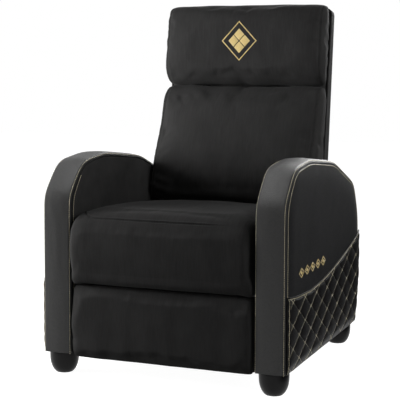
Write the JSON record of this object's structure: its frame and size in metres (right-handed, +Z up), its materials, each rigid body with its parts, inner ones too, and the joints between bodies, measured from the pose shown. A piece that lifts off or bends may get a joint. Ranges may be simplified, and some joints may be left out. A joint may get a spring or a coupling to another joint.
{
  "type": "gaming recliner",
  "caption": "Push-back gaming recliner with padded arms, quilted side pockets, a folding bar footrest under the seat and a reclining back on short tapered feet.",
  "frame": {"origin": "on the floor at the centre of the bounding box: half way between the arms' outer sides and half way between the seat's front edge and the rear of the back", "axes": "+Z up, -Y is the direction a seated person faces, +X is the viewer's right when the chair is seen from its front"},
  "size_m": [0.7006, 0.7657, 1.0155],
  "materials": {
    "charcoal_velvet": "matte",
    "band_leather": "satin",
    "panel_leather": "satin",
    "quilted_leather": "satin",
    "foot_plastic": "satin",
    "black_steel": "satin",
    "zinc_steel": "satin",
    "plywood": "matte",
    "elastic_webbing": "matte"
  },
  "bodies": {
    "base": {"arm_band_left": "band_leather", "arm_band_right": "band_leather", "arm_frame_left": "plywood", "arm_frame_right": "plywood", "arm_inner_panel_left": "charcoal_velvet", "arm_inner_panel_right": "charcoal_velvet", "arm_outer_panel_left": "panel_leather", "arm_outer_panel_right": "panel_leather", "side_pocket_left": "quilted_leather", "side_pocket_right": "quilted_leather", "foot_front_left": "foot_plastic", "foot_front_right": "foot_plastic", "foot_rear_left": "foot_plastic", "foot_rear_right": "foot_plastic", "base_rail_left": "black_steel", "base_rail_right": "black_steel", "base_cross_tube": "black_steel", "rear_panel": "panel_leather"},
    "front_swing": {"front_swing_link_left": "zinc_steel", "front_swing_link_right": "zinc_steel"},
    "rear_swing": {"rear_swing_link_left": "zinc_steel", "rear_swing_link_right": "zinc_steel", "swing_torque_tube": "zinc_steel"},
    "seat": {"seat_rail_left": "black_steel", "seat_rail_right": "black_steel", "seat_frame": "plywood", "seat_spring_1": "zinc_steel", "seat_spring_2": "zinc_steel", "seat_spring_3": "zinc_steel", "seat_spring_4": "zinc_steel", "seat_cushion": "charcoal_velvet"},
    "back": {"back_bracket_left": "black_steel", "back_bracket_right": "black_steel", "back_frame": "plywood", "back_webbing_1": "elastic_webbing", "back_webbing_2": "elastic_webbing", "back_webbing_3": "elastic_webbing", "lumbar_cushion": "charcoal_velvet", "headrest_cushion": "charcoal_velvet", "back_rear_cover": "charcoal_velvet"},
    "footrest_rear_links": {"footrest_rear_link_left": "zinc_steel", "footrest_rear_link_right": "zinc_steel", "footrest_drive_tube": "zinc_steel"},
    "footrest_front_links": {"footrest_front_link_left": "zinc_steel", "footrest_front_link_right": "zinc_steel"},
    "footrest_main_links": {"footrest_main_link_left": "zinc_steel", "footrest_main_link_right": "zinc_steel"},
    "footrest_control_links": {"footrest_control_link_left": "zinc_steel", "footrest_control_link_right": "zinc_steel"},
    "footrest": {"footrest_bracket_left": "black_steel", "footrest_bracket_right": "black_steel", "footrest_board": "plywood", "footrest_pad": "charcoal_velvet"}
  },
  "joints": [
    {"name": "seat_swing", "type": "hinge", "parent": "base", "child": "front_swing", "pos_m": [0, -0.162, 0.105], "axis": [1, 0, 0], "range_deg": [0, 50]},
    {"name": "seat_level", "type": "hinge", "parent": "front_swing", "child": "seat", "pos_m": [0, -0.11129, 0.21376], "axis": [1, 0, 0], "range_deg": [-50, 0]},
    {"name": "rear_swing", "type": "hinge", "parent": "base", "child": "rear_swing", "pos_m": [0, 0.07, 0.105], "axis": [1, 0, 0], "range_deg": [0, 50]},
    {"name": "footrest_rear_link", "type": "hinge", "parent": "seat", "child": "footrest_rear_links", "pos_m": [0, -0.171, 0.2345], "axis": [-1, 0, 0], "range_deg": [0, 136]},
    {"name": "footrest_front_link", "type": "hinge", "parent": "seat", "child": "footrest_front_links", "pos_m": [0, -0.2004, 0.24048], "axis": [-1, 0, 0], "range_deg": [0, 136]},
    {"name": "footrest_main_link", "type": "hinge", "parent": "footrest_rear_links", "child": "footrest_main_links", "pos_m": [0, -0.04384, 0.1278], "axis": [-1, 0, 0], "range_deg": [-136, 0]},
    {"name": "footrest_control_link", "type": "hinge", "parent": "footrest_front_links", "child": "footrest_control_links", "pos_m": [0, -0.06317, 0.1487], "axis": [-1, 0, 0], "range_deg": [-139.5, 0]},
    {"name": "footrest_panel", "type": "hinge", "parent": "footrest_main_links", "child": "footrest", "pos_m": [0, -0.31684, 0.18334], "axis": [-1, 0, 0], "range_deg": [0, 100]},
    {"name": "back_recline", "type": "hinge", "parent": "seat", "child": "back", "pos_m": [0, 0.205, 0.345], "axis": [-1, 0, 0], "range_deg": [0, 45]}
  ],
  "couplings": [
    {"joint": "seat_level", "follows": "seat_swing", "ratio": -1},
    {"joint": "rear_swing", "follows": "seat_swing", "ratio": 1},
    {"joint": "footrest_rear_link", "follows": "seat_swing", "ratio": 2.72},
    {"joint": "footrest_front_link", "follows": "seat_swing", "ratio": 2.72},
    {"joint": "footrest_main_link", "follows": "seat_swing", "ratio": -2.72},
    {"joint": "footrest_control_link", "follows": "seat_swing", "ratio": -2.79},
    {"joint": "footrest_panel", "follows": "seat_swing", "ratio": 2}
  ]
}
